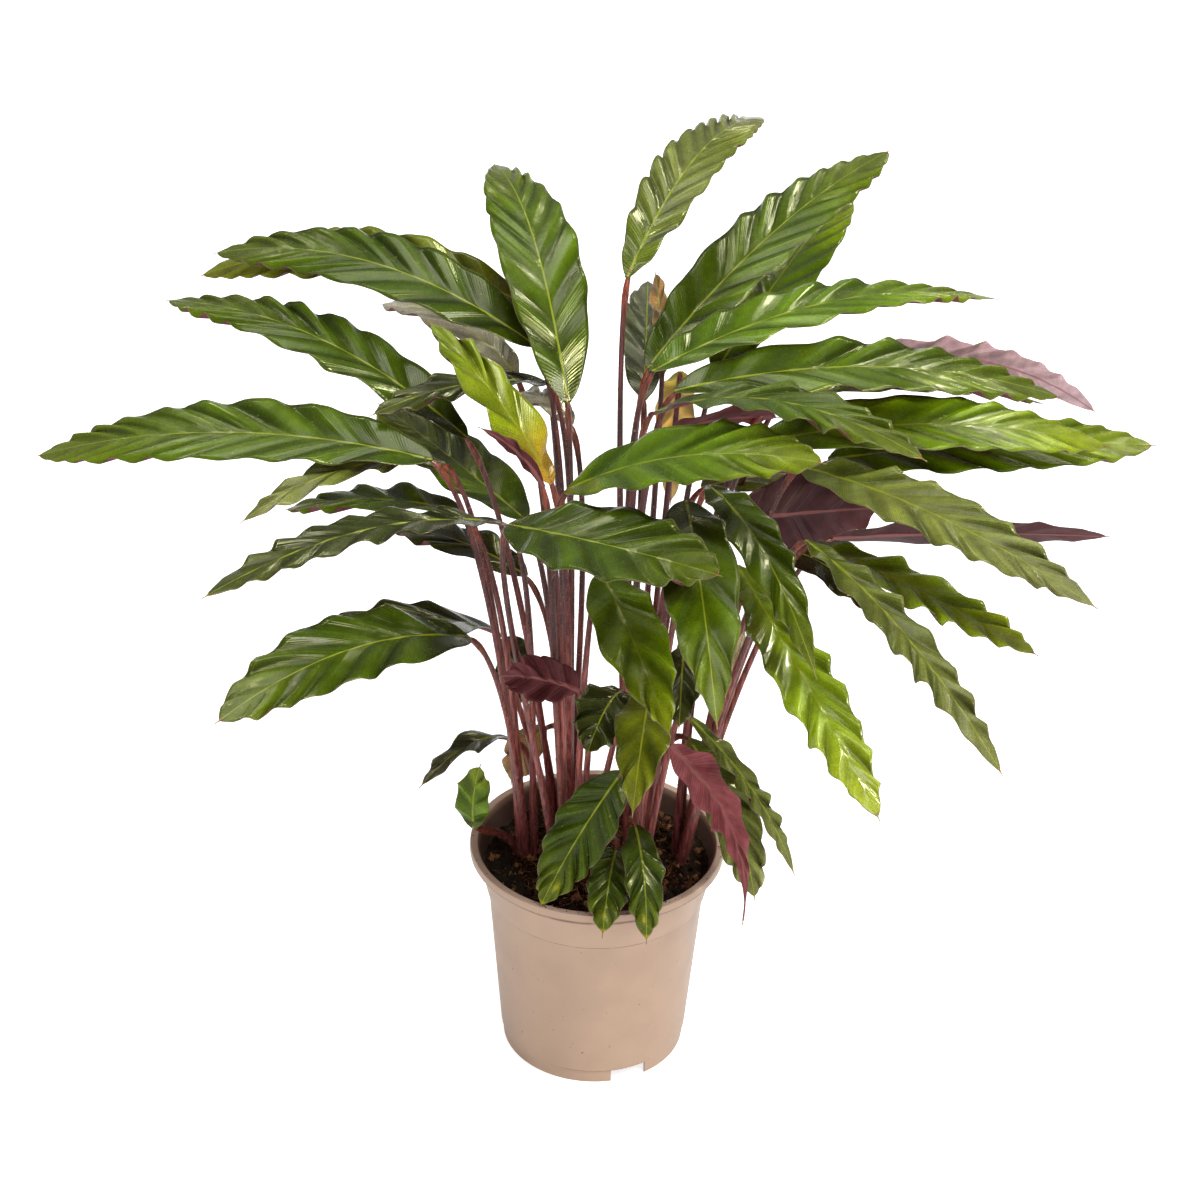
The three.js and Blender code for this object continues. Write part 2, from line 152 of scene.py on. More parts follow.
# Blades.
BLADE_THICKNESS = 0.6
RIM_THICKNESS = 0.22
BLADE_BASE_HALF_WIDTH = 1.8
BLADE_TIP_HALF_WIDTH = 0.6
TIP_NEEDLE = 3.5
NEEDLE_STEPS = (0.3, 0.65, 1.0)  # of its length
BLADE_FULLNESS = 0.6  # a blade's outline is t^fullness (1 - t)^taper
BLADE_TAPER = 0.65
VEIN_ANGLE = math.radians(29)
LARGEST_SLANT = 0.24
WAVE_LENGTH = 27.0
WAVE_HEIGHT = 2.1  # at the edge
WAVE_GROWTH = (0.8, 10.0)  # the half widths between which the waves reach their height
WAVE_START = (-0.04, 0.1)  # the stretch in which the waves begin
WAVE_CALM = (0.7, 0.96)  # the stretch in which they die away towards the tip
WAVE_LOSS = 0.92  # the share of their height that they lose there
WAVE_STRAY = ((0.7, 1.3), (0.4, 3.7))  # how far and how often the crests stray
WAVE_SWELL = (0.4, 2.1)  # how much and how often the waves' height varies
SCALLOP = 1.0  # how far each crest of the edge stands out
LOBE_SHARPNESS = 0.5  # of the notches between the crests
LOBE_LEAD = 0.5 * math.pi  # of a lobe over its crest
RIPPLE_RATE = 1.9  # of the small ripples along the edge, against its waves
RIPPLE_SHARE = 0.15
WAVE_EXPONENT = 0.6
WAVE_OFFSET = 0.9 * math.pi  # of one edge's waves from the other's
CUP = 0.16  # rise of the edges at the blade's base, of the half width
CUP_FALL = 0.24  # how much less it is at the tip, where the edges droop
FOLD_SHARPNESS = 0.1
PLEATS_PER_WAVE = 3
PLEAT_HEIGHT = 0.42
PLEAT_STRAY = 2.5
PLEAT_EXPONENT = 0.6
PLEAT_FADE = 0.55  # towards the edge
ROWS_PER_WAVE = 26
COLUMNS = 11
COLUMN_CROWDING = 1.35  # towards the midrib
RIB_HEIGHT = 1.1
UPPER_RIB_HEIGHT = 0.25
RIB_TIP_WIDTH = 0.35
RIB_WIDENING = 0.95  # from the tip to the base
SIDE_VEIN_STEP = 1.6
FOLD_SHADE_LEAD = 0.9  # how far the painted shade on each fold's darker side lies from its crest, in radians
# how strongly the folds are painted with shade on one side and with light on the other
PAINTED_FOLD_SHADE = 0.4
BANDS = 3.0  # broad bands of lighter and darker green along a blade
BAND_SHADE = 0.12
SPOT_PLACE = 0.86
SPOT_LENGTH = 0.0346
SPOT_WIDTH = 0.1225

# Light and floor.
WORLD_LIGHT = 0.26
FLOOR_GLOW = 0.16  # the floor is a light table
FLOOR_SEEN_GLOW = 0.75  # and overexposed, so that shadows on it hardly show
FLOOR_HALF = 12.0
FLOOR_HEIGHT = -0.0002
GLINT = (1.0, 0.98, 0.7)

rng = np.random.default_rng(7)


@dataclass
class Leaf:
    """A blade by its base, tip, midrib rise and greatest width, with its stalk's bend.

    A larger taper draws the blade out to a longer tip, and a larger ruffle deepens its
    waves, whose number is worked out from the length where it isn't given.
    """

    base: tuple
    tip: tuple
    arch: float
    width: float
    tone: str = "mid"
    roll: float = 0.0
    bend: float = STALK_BEND
    waves: int = 0
    taper: float = BLADE_TAPER
    ruffle: float = 1.0


@dataclass
class Shoot:
    """A crown in the soil with its leaves, and the small inner leaves fused to it."""

    name: str
    crown: tuple
    leaves: tuple
    inner: tuple = ()


@dataclass
class Sun:
    """A distant soft light from the direction of its place, with its spread in degrees.

    It may be there for its reflections alone.
    """

    name: str
    place: tuple
    strength: float
    spread: float
    colour: tuple = (1, 1, 1)
    only_gloss: bool = False


SUNS = (
    Sun("key", (0.6, -0.45, 1.0), 1.6, 14),
    Sun("top", (-0.15, 0.3, 1.0), 1.5, 32),
    Sun("front", (0.1, -1.0, 0.35), 0.6, 60),
    Sun("gloss_left", (-0.5, 0.8, 0.75), 0.3, 7, GLINT, only_gloss=True),
    Sun("gloss_right", (0.5, 0.8, 0.75), 0.9, 6, GLINT, only_gloss=True),
    Sun("gloss_front", (0.2, -0.5, 0.85), 3.0, 6, GLINT, only_gloss=True),
)

SHOOTS = (
    Shoot("left", (-40, 14), (
        Leaf((-105, -40, 460), (-360, 40, 415), 17, 60, "mid", roll=-12, ruffle=0.8),
        Leaf((-100, -5, 440), (-215, -75, 435), 15, 26, "grey"),
        Leaf((-90, 0, 403), (-205, 50, 375), 8, 36, "mid"),
        Leaf((-82, -55, 345), (-220, -180, 360), 19, 56, "forest", roll=-12),
        Leaf((-60, -45, 420), (-220, -200, 455), 18, 34, "deep"),
        Leaf((-57, 52, 200), (-115, -18, 210), 14, 18, "slate", ruffle=1.5),
        Leaf((-82, -12, 172), (-78, -12, 220), 2, 24, "bright", roll=70, bend=10),
    )),
    Shoot("back_left", (-18, 44), (
        Leaf((-25, 20, 471), (-80, 237, 541), 34, 52, "mid", taper=0.75, ruffle=0.8),
        Leaf((-87, 10, 450), (-288, 138, 480), 22, 54, "forest"),
        Leaf((-46, 60, 490), (-260, 172, 500), 25, 54, "forest", roll=-15, ruffle=0.8),
        Leaf((-54, 110, 496), (-273, 190, 476), 24, 44, "olive", roll=-25),
        Leaf((-33, -25, 438), (-109, 10, 527), 6, 32, "lime", roll=-15, taper=0.75, ruffle=1.4),
        Leaf((-50, 10, 393), (-152, 146, 404), 2, 50, "mid"),
        Leaf((-60, 122, 439), (-153, 192, 457), 16, 38, "silver"),
        Leaf((-38, 60, 465), (-142, -12, 476), 9, 32, "deep"),
        Leaf((-50, 35, 338), (-140, 93, 339), 8, 36, "deep"),
        Leaf((-64, 38, 290), (-205, -66, 316), 26, 46, "deep"),
        Leaf((-37, 72, 198), (-60, 72, 154), 4, 26, "dead", roll=-60),
    ), (
        Leaf((-23, 70, 431), (-60, 117, 430), 7, 26, "silver"),
        Leaf((-67, 40, 286), (-47, 54, 231), 1, 34, "deep", roll=75),
    )),
    Shoot("back_right", (21, 44), (
        Leaf((10, 45, 545), (98, 250, 574), 27, 42, "grey", waves=12),
        Leaf((24, 40, 486), (185, 255, 550), 16, 54, "mid", ruffle=0.8),
        Leaf((68, 75, 468), (163, 280, 511), 6, 50, "bright", ruffle=0.6),
        Leaf((26, -10, 508), (250, 137, 496), 22, 50, "bright", taper=0.9, ruffle=0.8),
        Leaf((122, 80, 467), (329, 170, 401), 25, 26, "mauve", roll=-70),
        Leaf((102, 47, 461), (286, 128, 426), 14, 42, "forest", roll=-10),
        Leaf((23, 60, 455), (25, 199, 475), 5, 32, "slate", ruffle=1.4),
        Leaf((46, 85, 463), (44, 128, 347), 14, 26, "golden"),
    ), (
        Leaf((37, 10, 458), (106, 51, 449), 4, 28, "deep", roll=-50),
        Leaf((62, 60, 393), (127, 96, 386), 2, 34, "olive"),
        Leaf((34, 86, 486), (29, 142, 505), 2, 14, "amber", roll=-50),
    )),
    Shoot("right", (46, 10), (
        Leaf((94, 23, 445), (324, 90, 415), 14, 52, "vivid", roll=14, ruffle=0.6),
        Leaf((143, 70, 410), (360, 118, 402), 6, 50, "bright", roll=20, ruffle=0.8),
        Leaf((119, -10, 446), (272, -194, 459), 10, 44, "pale", roll=10, taper=0.8),
        Leaf((144, 20, 380), (329, 77, 355), 3, 28, "dusky", roll=-60, waves=5, ruffle=0.4),
        Leaf((84, 10, 397), (176, 66, 378), 1, 58, "dusky", roll=-95, ruffle=1.7),
        Leaf((128, -30, 404), (246, -172, 414), 3, 36, "fresh", ruffle=1.2),
        Leaf((121, -60, 422), (219, -261, 392), 14, 26, "grey", ruffle=1.3),
        Leaf((113, 16, 373), (165, -60, 374), 9, 32, "deep"),
    ), (Leaf((80, 6, 250), (91, 0, 322), 1, 9, "cream", roll=90),)),
    Shoot("front_right", (20, -16), (
        Leaf((39, -30, 505), (281, 44, 472), 18, 52, "mid", roll=10),
        Leaf((25, -40, 494), (172, -176, 539), 21, 42, "mid"),
        Leaf((80, -70, 409), (152, -280, 373), 4, 38, "fresh", ruffle=1.4),
        Leaf((62, -38, 446), (120, -197, 412), 18, 32, "mid", taper=0.9),
        Leaf((47, -90, 463), (62, -280, 430), 10, 44, "mid", waves=5, taper=0.9),
        Leaf((30, -100, 338), (20, -197, 315), 8, 33, "olive", taper=0.9),
        Leaf((51, -45, 335), (48, -105, 316), 6, 24, "deep"),
        Leaf((45, -55, 269), (95, -85, 156), 20, 25, "rosy", roll=-120, waves=7, taper=1.9, ruffle=2),
        Leaf((54, -40, 283), (127, -60, 178), 9, 13, "grey", roll=35, waves=7, ruffle=2),
        Leaf((57, -25, 255), (103, -60, 157), 10, 30, "grey", roll=45, waves=6, ruffle=1.6),
        Leaf((24, -45, 201), (33, -100, 151), 16, 25, "spotted", waves=5),
    )),
    Shoot("front_left", (-18, -14), (
        Leaf((-24, -70, 457), (118, -165, 529), 13, 54, "bright", roll=20, ruffle=0.8),
        Leaf((-57, -95, 447), (62, -205, 479), 2, 64, "forest", roll=12),
        Leaf((-1, -75, 404), (39, -205, 375), 4, 42, "vivid", taper=0.9, ruffle=1.0),
        Leaf((13, -60, 312), (-7, -127, 310), 8, 36, "deep", roll=-15, waves=5, ruffle=1.5),
        Leaf((-14, -50, 305), (-60, -91, 340), 3, 26, "deep", roll=95, waves=5, ruffle=1.8),
        Leaf((15, -50, 245), (-35, -76, 158), 3, 38, "spotted", roll=-45, waves=7, taper=0.75),
        Leaf((13, -42, 180), (5, -97, 153), 10, 28, "spotted", waves=5),
    ), (Leaf((-38, -52, 450), (-74, -45, 484), 5, 9, "deep", roll=80, ruffle=1.8),)),
)


def linear(red, green, blue):
    """A colour given as on a screen, 0 to 255, as the renderer takes it."""
    share = np.array((red, green, blue)) / 255
    return np.where(share > 0.04045, ((share + 0.055) / 1.055) ** 2.4, share / 12.92)


def rgba(red, green, blue):
    return (*linear(red, green, blue), 1.0)


@dataclass
class Tone:
    """The colours of a blade: above at its middle, base and tip, and below at its base and tip."""

    middle: tuple
    base: tuple
    tip: tuple
    under: tuple = (92, 42, 44)
    under_tip: tuple = (122, 66, 68)


TONES = {
    "forest": Tone((62, 82, 4), (46, 62, 4), (86, 100, 16)),
    "bright": Tone((88, 116, 6), (66, 92, 6), (122, 134, 22)),
    "mid": Tone((74, 96, 8), (54, 72, 6), (100, 112, 22)),
    "deep": Tone((50, 58, 18), (42, 48, 14), (68, 76, 24)),
    "grey": Tone((104, 112, 46), (84, 98, 26), (118, 120, 66)),
    "slate": Tone((78, 84, 56), (62, 68, 40), (104, 104, 80)),
    "silver": Tone((158, 154, 128), (130, 128, 98), (170, 162, 146)),
    "olive": Tone((98, 108, 16), (80, 86, 12), (122, 126, 30)),
    "lime": Tone((126, 140, 18), (190, 142, 46), (92, 112, 14)),
    "golden": Tone((250, 204, 104), (206, 196, 64), (250, 214, 140)),
    "dead": Tone((162, 122, 82), (132, 110, 52), (170, 140, 96)),
    "amber": Tone((160, 120, 66), (150, 112, 50), (124, 84, 50)),
    "cream": Tone((244, 222, 166), (222, 160, 98), (250, 238, 200)),
    "vivid": Tone((112, 142, 10), (84, 112, 8), (146, 158, 24)),
    "fresh": Tone((134, 160, 20), (100, 126, 12), (162, 172, 36)),
    "pale": Tone((116, 124, 52), (90, 104, 28), (126, 128, 76)),
    "rosy": Tone((72, 92, 10), (54, 70, 8), (98, 110, 24), (146, 76, 78), (164, 92, 94)),
    "mauve": Tone((90, 104, 30), (72, 88, 20), (110, 116, 50), (196, 158, 162), (208, 176, 180)),
    "dusky": Tone((50, 58, 18), (42, 48, 14), (68, 76, 24), (66, 34, 36), (92, 50, 52)),
    "spotted": Tone((60, 78, 12), (46, 62, 8), (94, 106, 16)),
}
PLAIN_TONES = ("golden", "dead", "amber", "cream")
GLOSSY_TONES = ("fresh",)
SATIN_COAT = 0.12
GLOSSY_COAT = 0.45
SPOT_YELLOW = linear(206, 196, 30)
TIP_BROWN = linear(120, 60, 26)


# Shader nodes.


def plug(tree, socket, value):
    """Links the socket to another one, or sets it to a plain value."""
    if isinstance(value, bpy.types.NodeSocket):
        tree.links.new(value, socket)
    else:
        socket.default_value = value


def node(tree, kind, inputs=(), **settings):
    """Adds a shader node."""
    made = tree.nodes.new("ShaderNode" + kind)
    for name, value in settings.items():
        setattr(made, name, value)
    for name, value in dict(inputs).items():
        plug(tree, made.inputs[name], value)
    return made


def mixed(tree, factor, first, second):
    """The two colours mixed by the factor."""
    return node(tree, "Mix", {0: factor, 6: first, 7: second}, data_type="RGBA").outputs[2]


def ranged(tree, value, low, high, first=0.0, last=1.0):
    """The value taken from low..high to first..last, eased and held at both ends."""
    inputs = {"Value": value, "From Min": low, "From Max": high, "To Min": first, "To Max": last}
    return node(tree, "MapRange", inputs, interpolation_type="SMOOTHSTEP").outputs["Result"]


def maths(tree, operation, first, second=0.0):
    return node(tree, "Math", {0: first, 1: second}, operation=operation).outputs[0]


def stored(tree, name, output="Fac"):
    """A number or colour that the mesh holds for each of its points."""
    return node(tree, "Attribute", attribute_name=name).outputs[output]


def cloudy(tree, size, detail=3.0, stretch=(1.0, 1.0, 1.0)):
    """Noise whose lumps are about `size` millimetres, fixed to the object."""
    place = node(tree, "TexCoord").outputs["Object"]
    scaled = node(tree, "Mapping", {"Vector": place, "Scale": stretch}).outputs["Vector"]
    inputs = {"Vector": scaled, "Scale": 1 / (size * MM), "Detail": detail}
    return node(tree, "TexNoise", inputs).outputs[0]


def bumped(tree, height, depth, below=None):
    """A normal for relief of `depth` millimetres, on top of the relief `below`."""
    inputs = {"Height": height, "Distance": depth * MM, "Strength": 1.0}
    if below is not None:
        inputs["Normal"] = below
    return node(tree, "Bump", inputs).outputs["Normal"]


def banded(tree, height, low, high, strength):
    """`strength` between two heights in millimetres, and nothing outside them."""
    edge = (high - low) / 4
    up = ranged(tree, height, (low - edge) * MM, (low + edge) * MM, 0.0, strength)
    down = ranged(tree, height, (high - edge) * MM, (high + edge) * MM, 0.0, strength)
    return maths(tree, "SUBTRACT", up, down)


def new_material(name):
    material = bpy.data.materials.new(name)
    material.use_nodes = True
    tree = material.node_tree
    return material, tree, tree.nodes["Principled BSDF"]


def shade(tree, shader, **inputs):
    """Sets or links the shader's sockets; a name's underscores stand for spaces."""
    for name, value in inputs.items():
        plug(tree, shader.inputs[name.replace("_", " ")], value)


def side_veins(tree):
    """A wave along the blade with one turn for each fine side vein."""
    turns = maths(tree, "MULTIPLY", stored(tree, "vein"), math.tau / SIDE_VEIN_STEP)
    return maths(tree, "SINE", turns)


def scaled(tree, colour, factor):
    """The colour made lighter or darker by the factor."""
    return node(tree, "VectorMath", {0: colour, "Scale": factor}, operation="SCALE").outputs[0]


def blade_upper_material(name, coat):
    """Green, with a pale midrib, fine side veins, mottling, a pale rim and a thin clear coat."""
    material, tree, shader = new_material(name)
    vein = side_veins(tree)
    mottle = ranged(tree, cloudy(tree, 9), 0.3, 0.7, 0.88, 1.12)
    grain = ranged(tree, cloudy(tree, 0.8), 0.3, 0.7, 0.74, 1.26)
    lines = ranged(tree, vein, -1, 1, 0.88, 1.12)
    light = maths(tree, "MULTIPLY", maths(tree, "MULTIPLY", mottle, grain), lines)
    colour = scaled(tree, stored(tree, "tone", "Color"), light)
    flecks = ranged(tree, cloudy(tree, 2.2, 1.0), 0.73, 0.77, 0.0, 0.4)
    colour = mixed(tree, flecks, colour, rgba(160, 160, 60))
    rib = ranged(tree, stored(tree, "rib"), 0.8, 0.35, 0.0, 0.75)
    colour = mixed(tree, rib, colour, rgba(160, 170, 44))
    edge = ranged(tree, stored(tree, "edge"), 0.5, 0.15, 0.0, 0.6)
    colour = mixed(tree, edge, colour, rgba(150, 132, 96))
    relief = bumped(tree, cloudy(tree, 0.8), 0.035)
    relief = bumped(tree, vein, 0.03, relief)
    gloss = ranged(tree, cloudy(tree, 14), 0.35, 0.65, 0.17, 0.3)
    shade(tree, shader, Base_Color=colour, Roughness=gloss, Normal=relief)
    shade(tree, shader, Specular_IOR_Level=0.26, Specular_Tint=(1.0, 1.0, 0.55, 1.0))
    shade(tree, shader, Coat_Weight=coat, Coat_Roughness=0.12)
    return material


def blade_under_material():
    """Maroon and velvety, with a paler rib and fine side veins."""
    material, tree, shader = new_material("blade_under")
    vein = side_veins(tree)
    mottle = ranged(tree, cloudy(tree, 7), 0.3, 0.7, 0.8, 1.2)
    lines = ranged(tree, vein, -1, 1, 0.88, 1.12)
    colour = scaled(tree, stored(tree, "tone", "Color"), maths(tree, "MULTIPLY", mottle, lines))
    rib = ranged(tree, stored(tree, "rib"), 1.5, 0.9, 0.0, 0.7)
    colour = mixed(tree, rib, colour, rgba(156, 96, 92))
    relief = bumped(tree, cloudy(tree, 0.8), 0.08)
    relief = bumped(tree, vein, 0.06, relief)
    shade(tree, shader, Base_Color=colour, Normal=relief, Roughness=0.5)
    shade(tree, shader, Specular_IOR_Level=0.25, Specular_Tint=(1.0, 0.75, 0.75, 1.0))
    return material


def stalk_material():
    """Maroon with long streaks, pale scars and a dull shine."""
    material, tree, shader = new_material("stalk")
    streaks = ranged(tree, cloudy(tree, 1.6, 4.0, (1.0, 1.0, 0.06)), 0.3, 0.7, 0.45, 1.7)
    colour = scaled(tree, stored(tree, "tone", "Color"), streaks)
    scars = ranged(tree, cloudy(tree, 2.5, 2.0), 0.66, 0.72, 0.0, 0.6)
    colour = mixed(tree, scars, colour, rgba(186, 134, 104))
    relief = bumped(tree, cloudy(tree, 1.2, 3.0, (1.0, 1.0, 0.08)), 0.2)
    shade(tree, shader, Base_Color=colour, Normal=relief, Roughness=0.36)
    return material


def hair_material():
    material, tree, shader = new_material("stalk_hair")
    shine = ranged(tree, cloudy(tree, 12), 0.35, 0.65)
    colour = mixed(tree, shine, rgba(168, 92, 48), rgba(224, 158, 98))
    shade(tree, shader, Base_Color=colour, Roughness=0.6)
    return material


def pot_material():
    """Satin taupe plastic with faint clouds and specks, a painted highlight along the rim's top, dark
    lines of dirt and painted shade under the ledges, and painted shade on the inner face of the mouth.
    """
    material, tree, shader = new_material("pot_plastic")
    clouds = ranged(tree, cloudy(tree, 30, 4.0), 0.3, 0.7)
    colour = mixed(tree, clouds, rgba(194, 163, 139), rgba(202, 170, 145))
    place = node(tree, "TexCoord").outputs["Object"]
    height = node(tree, "SeparateXYZ", {0: place}).outputs["Z"]
    # dark lines of patchy dirt and painted shade, where the body overhangs the foot, under the step and
    # under the rim band
    foot = banded(tree, height, FOOT_HEIGHT - 0.9, FOOT_HEIGHT + 0.5, 0.7)
    step = banded(tree, height, STEP_HEIGHT - 1.6, STEP_HEIGHT - 0.2, 0.5)
    groove = banded(tree, height, POT_HEIGHT - RIM_BAND - 5.2, POT_HEIGHT - RIM_BAND + 0.4, 1.3)
    patchy = ranged(tree, cloudy(tree, 7, 6.0), 0.3, 0.55, 0.35, 1.0)
    lines = maths(tree, "ADD", maths(tree, "ADD", foot, step), groove)
    dirt_and_shade = maths(tree, "MINIMUM", maths(tree, "MULTIPLY", lines, patchy), 0.85)
    colour = mixed(tree, dirt_and_shade, colour, rgba(92, 66, 50))
    # painted highlight: the rim's top and its rounded edges lighter
    rim_highlight = ranged(tree, height, (POT_HEIGHT - 0.9) * MM, (POT_HEIGHT - 0.2) * MM, 0.0, 0.5)
    colour = mixed(tree, rim_highlight, colour, rgba(226, 200, 178))
    # painted shade: the inner face of the wall, in the mouth, darker
    colour = mixed(tree, stored(tree, "inner"), colour, rgba(120, 98, 84))
    specks = ranged(tree, cloudy(tree, 2.6, 2.0), 0.735, 0.76, 0.0, 0.75)
    colour = mixed(tree, specks, colour, rgba(92, 62, 44))
    relief = bumped(tree, cloudy(tree, 0.7, 2.0), 0.015)
    gloss = ranged(tree, cloudy(tree, 16, 5.0), 0.3, 0.7, 0.3, 0.38)
    shade(tree, shader, Base_Color=colour, Roughness=gloss, Normal=relief)
    return material


def soil_material():
    """Dark moist peat; the mesh holds each clod's own brown."""
    material, tree, shader = new_material("peat")
    grain = ranged(tree, cloudy(tree, 1.0, 6.0), 0.3, 0.7, 0.4, 1.7)
    colour = scaled(tree, stored(tree, "tone", "Color"), grain)
    relief = bumped(tree, cloudy(tree, 0.9, 5.0), 0.7)
    shade(tree, shader, Base_Color=colour, Roughness=0.95, Normal=relief)
    shade(tree, shader, Specular_IOR_Level=0.15)
    return material


def floor_material():
    """Almost white, and shining a little by itself."""
    material, tree, shader = new_material("floor")
    clouds = ranged(tree, cloudy(tree, 400), 0.3, 0.7)
    colour = mixed(tree, clouds, rgba(243, 243, 245), rgba(247, 247, 248))
    shade(tree, shader, Base_Color=colour, Roughness=0.7)
    seen = node(tree, "LightPath").outputs["Is Camera Ray"]
    glow = ranged(tree, seen, 0, 1, FLOOR_GLOW, FLOOR_SEEN_GLOW)
    shade(tree, shader, Emission_Color=(1, 1, 1, 1), Emission_Strength=glow)
    return material


# Meshes.


def add_object(name, data):
    """A new object in the scene for the mesh, light or camera."""
    made = bpy.data.objects.new(name, data)
    bpy.context.scene.collection.objects.link(made)
    return made


def add_piece(name, points, faces, materials, replaced=(), looks=None):
    """A smooth piece of the plant from points in millimetres. `looks` picks each face's material."""
    mesh = bpy.data.meshes.new(name)
    mesh.from_pydata((np.asarray(points) * MM).tolist(), [], faces)
    for material in materials:
        mesh.materials.append(material)
    if looks is not None:
        mesh.polygons.foreach_set("material_index", looks)
    mesh.shade_smooth()
    piece = add_object(name, mesh)
    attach(piece, BODY)
    if replaced:
        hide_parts(*replaced)
    return piece


def store(piece, name, values):
    """Keeps a number or a colour for each point, for the material to read."""
    values = np.asarray(values, np.float32)
    if values.ndim == 1:
        piece.data.attributes.new(name, "FLOAT", "POINT").data.foreach_set("value", values)
        return
    colours = np.ones((len(values), 4), np.float32)
    colours[:, :3] = values
    layer = piece.data.attributes.new(name, "FLOAT_COLOR", "POINT")
    layer.data.foreach_set("color", colours.ravel())


def add_parts(name, parts, material, replaced=()):
    """Many closed parts as one piece, each given as its points, its faces and its colours."""
    points, faces, tones = [], [], []
    first = 0
    for places, corners, colours in parts:
        points.append(places)
        faces.extend(tuple(first + corner for corner in face) for face in corners)
        tones.append(np.broadcast_to(colours, places.shape))
        first += len(places)
    piece = add_piece(name, np.concatenate(points), faces, [material], replaced)
    store(piece, "tone", np.concatenate(tones))


def unit(vectors):
    return vectors / np.linalg.norm(vectors, axis=-1, keepdims=True)


def eased(value, low, high):
    """0 below low, 1 above high, and smooth between."""
    share = np.clip((value - low) / (high - low), 0, 1)
    return share * share * (3 - 2 * share)


def blended(first, second, share):
    return first + (second - first) * np.asarray(share)[..., None]


def skin(rings, sides):
    """Faces of a closed skin over rings of points, one ring after another, with both ends capped."""
    faces = []
    for ring in range(rings - 1):
        for side in range(sides):
            a = ring * sides + side
            b = ring * sides + (side + 1) % sides
            faces.append((a, b, b + sides, a + sides))
    last = (rings - 1) * sides
    faces.append(tuple(reversed(range(sides))))
    faces.append(tuple(range(last, last + sides)))
    return faces


# Blades.


def midrib(leaf):
    """The three points of the midrib's curve, and the direction across the blade."""
    start = np.array(leaf.base, float)
    end = np.array(leaf.tip, float)
    side = unit(np.cross(end - start, UP))
    lift = unit(np.cross(side, end - start))
    return start, (start + end) / 2 + 2 * leaf.arch * lift, end, side


def curve_point(start, control, end, t):
    t = t[..., None]
    return (1 - t) ** 2 * start + 2 * t * (1 - t) * control + t**2 * end


def curve_direction(start, control, end, t):
    t = t[..., None]
    return unit((1 - t) * (control - start) + t * (end - control))


def half_width(leaf, t):
    widest = BLADE_FULLNESS / (BLADE_FULLNESS + leaf.taper)
    full = widest**BLADE_FULLNESS * (1 - widest) ** leaf.taper
    inside = np.clip(t, 0, 1)
    outline = leaf.width / 2 * inside**BLADE_FULLNESS * (1 - inside) ** leaf.taper / full
    stalk_end = BLADE_BASE_HALF_WIDTH * np.sqrt(1 - inside)
    needle = BLADE_TIP_HALF_WIDTH * np.where(t > 1, 0.5, 1.0)
    return np.maximum(np.maximum(outline, stalk_end), needle)


def blade_length(leaf):
    return np.linalg.norm(np.subtract(leaf.tip, leaf.base))


def wave_count(leaf):
    return leaf.waves or max(3, round(blade_length(leaf) / WAVE_LENGTH))


def folded_wave(angle, sharpness):
    """A wave with round crests and troughs drawn in towards a fold."""
    creased = 2 * np.abs(np.cos(angle / 2 - math.pi / 4)) - 1
    return (1 - sharpness) * np.sin(angle) + sharpness * creased


def edge_waves(leaf, along, across, chance):
    """The angle and strength of the edge's waves at each point, and how far their crests stray."""
    turns = math.tau * along
    side = np.sign(across)
    (far, rate), (short, fast) = WAVE_STRAY
    stray = far * np.sin(rate * turns + 6 * chance[0] + side)
    stray = stray + short * np.sin(fast * turns + 6 * chance[1])
    start = math.pi / 2 + np.where(across < 0, WAVE_OFFSET, 0)
    angle = wave_count(leaf) * turns + start + stray
    swell, swell_rate = WAVE_SWELL
    inside = np.clip(along, 0, 1)
    strength = 1 + swell * np.sin(swell_rate * turns + 6 * chance[1] + 1.4 * side)
    strength = strength * (1 - WAVE_LOSS * eased(inside, *WAVE_CALM)) * eased(inside, *WAVE_START)
    return angle, strength, stray


def blade_sheet(leaf, along, across, chance):
    """The middle sheet of a blade.

    Gives each point, its normal, its place along the midrib, the half width there, and
    the painted shade of its fold there: below 0 on the side painted darker, above 0 on the side painted
    lighter.
    """
    start, control, end, side = midrib(leaf)
    outward = np.abs(across)
    inside = np.clip(along, 0, 1)
    slant = min(LARGEST_SLANT, leaf.width / 2 / (blade_length(leaf) * math.tan(VEIN_ANGLE)))
    t = along + slant * outward * 4 * inside * (1 - inside)
    direction = curve_direction(start, control, end, t)
    level = unit(np.cross(direction, np.cross(side, direction)))
    above = np.cross(level, direction)
    roll = math.radians(leaf.roll)
    right = level * math.cos(roll) - above * math.sin(roll)
    normal = above * math.cos(roll) + level * math.sin(roll)
    half = half_width(leaf, t)
    angle, strength, stray = edge_waves(leaf, along, across, chance)
    grown = strength * leaf.ruffle * eased(half, *WAVE_GROWTH)
    ripple = np.sin(RIPPLE_RATE * angle + 9 * chance[0] + np.sign(across)) * outward**3
    wave = folded_wave(angle, FOLD_SHARPNESS) + RIPPLE_SHARE * ripple
    lobes = folded_wave(angle + LOBE_LEAD, LOBE_SHARPNESS) + RIPPLE_SHARE * ripple
    pleats = np.sin(PLEATS_PER_WAVE * angle + PLEAT_STRAY * stray)
    pleats = pleats * outward**PLEAT_EXPONENT * (1 - PLEAT_FADE * outward)
    rise = wave * grown * WAVE_HEIGHT * outward**WAVE_EXPONENT
    rise = rise + (CUP - CUP_FALL * inside) * half * outward
    rise = rise + PLEAT_HEIGHT * pleats * grown
    reach = across * half + np.sign(across) * SCALLOP * lobes * grown * outward**2
    point = curve_point(start, control, end, t) + right * reach[..., None] + normal * rise[..., None]
    # painted shade: darker on one side of each fold, lighter on the other, fading out towards the
    # midrib
    fold_shading = np.sin(angle + FOLD_SHADE_LEAD) * strength * eased(outward, 0.0, 0.3)
    return point, normal, t, half, fold_shading


